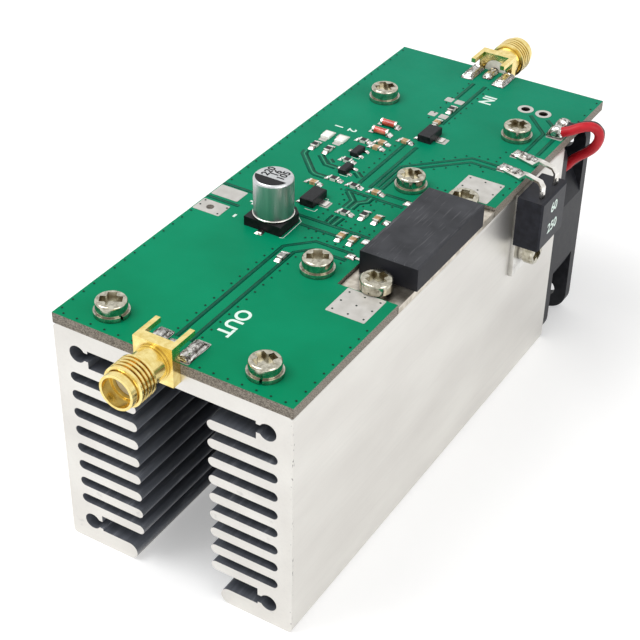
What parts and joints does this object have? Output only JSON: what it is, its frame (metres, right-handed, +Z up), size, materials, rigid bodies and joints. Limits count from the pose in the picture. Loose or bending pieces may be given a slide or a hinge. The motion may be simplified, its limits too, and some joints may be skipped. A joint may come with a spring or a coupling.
{
  "type": "radio power amplifier",
  "caption": "Finned tunnel heat sink carrying a radio amplifier circuit board with a power module, threaded coaxial jacks, a thermostat switch and a cooling fan.",
  "frame": {"origin": "on the plane of the heat sink's bottom lips, at the middle of its length and width", "axes": "+Z up through the board, +Y towards the fan and the input jack, +X towards the power module and the thermostat"},
  "size_m": [0.0456, 0.122, 0.0498],
  "materials": {
    "sink_aluminium": "bright extruded",
    "board_laminate": "green solder mask",
    "screw_nickel": "nickel plated",
    "washer_steel": "plated spring steel",
    "flange_copper": "nickel plated copper",
    "ceramic": "white ceramic",
    "silicon": "polished die",
    "module_black": "scuffed moulded cap",
    "tinned_metal": "tinned copper",
    "jack_gold": "gold plated",
    "jack_white": "white fluoropolymer",
    "can_aluminium": "drawn can",
    "base_black": "moulded",
    "seal_rubber": "moulded rubber",
    "winding_foil": "rolled foil and paper",
    "package_black": "moulded epoxy",
    "diode_red": "red glass",
    "light_white": "clear lens",
    "chip_black": "glazed top",
    "chip_tan": "fired ceramic",
    "thermostat_black": "moulded phenolic",
    "thermostat_metal": "plain sheet",
    "bimetal": "sprung sheet",
    "pin_ceramic": "fired ceramic",
    "arm_bronze": "spring bronze",
    "contact_silver": "silver faced",
    "fan_black": "moulded glass-filled plastic",
    "bearing_bronze": "sintered bronze",
    "driver_green": "solder mask",
    "motor_steel": "pressed steel",
    "coil_copper": "enamelled wire",
    "magnet_dark": "bonded ferrite",
    "lead_red": "soft insulation",
    "lead_black": "soft insulation"
  },
  "bodies": {
    "amplifier": {"heatsink": "sink_aluminium", "board": "board_laminate", "board_screws": "screw_nickel", "module_screws": "screw_nickel", "thermostat_screw": "screw_nickel", "fan_screws": "screw_nickel", "spring_washers": "washer_steel", "module_flange": "flange_copper", "module_substrate": "ceramic", "module_dies": "silicon", "module_cap": "module_black", "module_leads": "tinned_metal", "capacitor_terminals": "tinned_metal", "regulator_leads": "tinned_metal", "driver_leads": "tinned_metal", "transistor_leads": "tinned_metal", "diode_ends": "tinned_metal", "chip_ends": "tinned_metal", "thermostat_leads": "tinned_metal", "output_jack_shell": "jack_gold", "output_jack_contact": "jack_gold", "input_jack_shell": "jack_gold", "input_jack_contact": "jack_gold", "output_jack_insulator": "jack_white", "input_jack_insulator": "jack_white", "capacitor_can": "can_aluminium", "capacitor_base": "base_black", "capacitor_seal": "seal_rubber", "capacitor_winding": "winding_foil", "regulator_body": "package_black", "driver_body": "package_black", "transistor_bodies": "package_black", "diode_glass": "diode_red", "indicator_lights": "light_white", "chip_resistors": "chip_black", "chip_capacitors": "chip_tan", "thermostat_body": "thermostat_black", "thermostat_tab": "thermostat_metal", "thermostat_disc": "bimetal", "thermostat_contact": "contact_silver", "fan_frame": "fan_black", "fan_motor_mount": "fan_black", "fan_bearing": "bearing_bronze", "fan_driver_board": "driver_green", "fan_stator": "motor_steel", "fan_coils": "coil_copper", "fan_lead_red": "lead_red", "fan_lead_black": "lead_black"},
    "fan_rotor": {"fan_impeller": "fan_black", "fan_shaft": "motor_steel", "fan_yoke": "motor_steel", "fan_magnet": "magnet_dark", "fan_clip": "motor_steel"},
    "switch_contact": {"thermostat_pin": "pin_ceramic", "thermostat_arm": "arm_bronze"}
  },
  "joints": [
    {"name": "fan_spin", "type": "hinge", "parent": "amplifier", "child": "fan_rotor", "pos_m": [0, 0.0492, 0.02], "axis": [0, 1, 0], "continuous": true},
    {"name": "switch_slide", "type": "slide", "parent": "amplifier", "child": "switch_contact", "axis": [1, 0, 0], "range_m": [0, 0.0002]}
  ]
}
